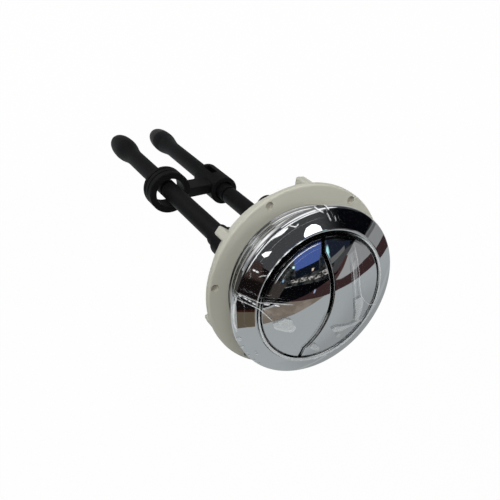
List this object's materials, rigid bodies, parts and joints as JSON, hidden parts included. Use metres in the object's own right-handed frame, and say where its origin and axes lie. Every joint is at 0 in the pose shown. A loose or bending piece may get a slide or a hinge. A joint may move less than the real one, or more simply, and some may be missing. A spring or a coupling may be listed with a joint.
{
  "type": "push button cistern actuator",
  "caption": "Domed chrome push button for a cistern lid: split dual flush buttons over a threaded neck with a clamp nut, and long push rods held apart by a spacer.",
  "frame": {"origin": "centre of the cap's flat underside, where it seats on the cistern lid", "axes": "+Z out of the lid through the domed cap, +X from the full flush rod to the half flush rod"},
  "size_m": [0.0644, 0.0644, 0.1792],
  "materials": {
    "chrome_plate": "bright chrome plating on moulded plastic",
    "white_plastic": "warm off-white moulded plastic, satin",
    "black_plastic": "black moulded plastic, satin",
    "steel": "plain steel",
    "clear_film": "clear creased protective film"
  },
  "bodies": {
    "bezel": {"bezel": "chrome_plate", "button_carrier": "black_plastic", "carrier_screws": "steel", "protective_film": "clear_film", "full_return_spring": "steel", "half_return_spring": "steel"},
    "full_button": {"full_flush_button": "chrome_plate", "full_plunger": "black_plastic", "full_plunger_screw": "steel"},
    "half_button": {"half_flush_button": "chrome_plate", "half_plunger": "black_plastic", "half_plunger_screw": "steel"},
    "full_rod": {"full_rod_upper": "black_plastic", "full_rod_lower": "black_plastic"},
    "half_rod": {"half_rod_upper": "black_plastic", "half_rod_lower": "black_plastic", "rod_spacer": "black_plastic"},
    "nut": {"clamp_nut": "white_plastic"}
  },
  "joints": [
    {"name": "full_button_press", "type": "slide", "parent": "bezel", "child": "full_button", "axis": [0, 0, -1], "range_m": [0, 0.007], "stiffness_N_per_m": 250, "springref_m": -0.006, "deforming": ["full_return_spring"]},
    {"name": "half_button_press", "type": "slide", "parent": "bezel", "child": "half_button", "axis": [0, 0, -1], "range_m": [0, 0.007], "stiffness_N_per_m": 250, "springref_m": -0.006, "deforming": ["half_return_spring"]},
    {"name": "full_rod_adjust", "type": "slide", "parent": "full_button", "child": "full_rod", "axis": [0, 0, 1], "range_m": [-0.008, 0.012]},
    {"name": "half_rod_adjust", "type": "slide", "parent": "half_button", "child": "half_rod", "axis": [0, 0, 1], "range_m": [-0.008, 0.012]},
    {"name": "nut_travel", "type": "slide", "parent": "bezel", "child": "nut", "axis": [0, 0, 1], "range_m": [-0.008, 0.0085]}
  ]
}
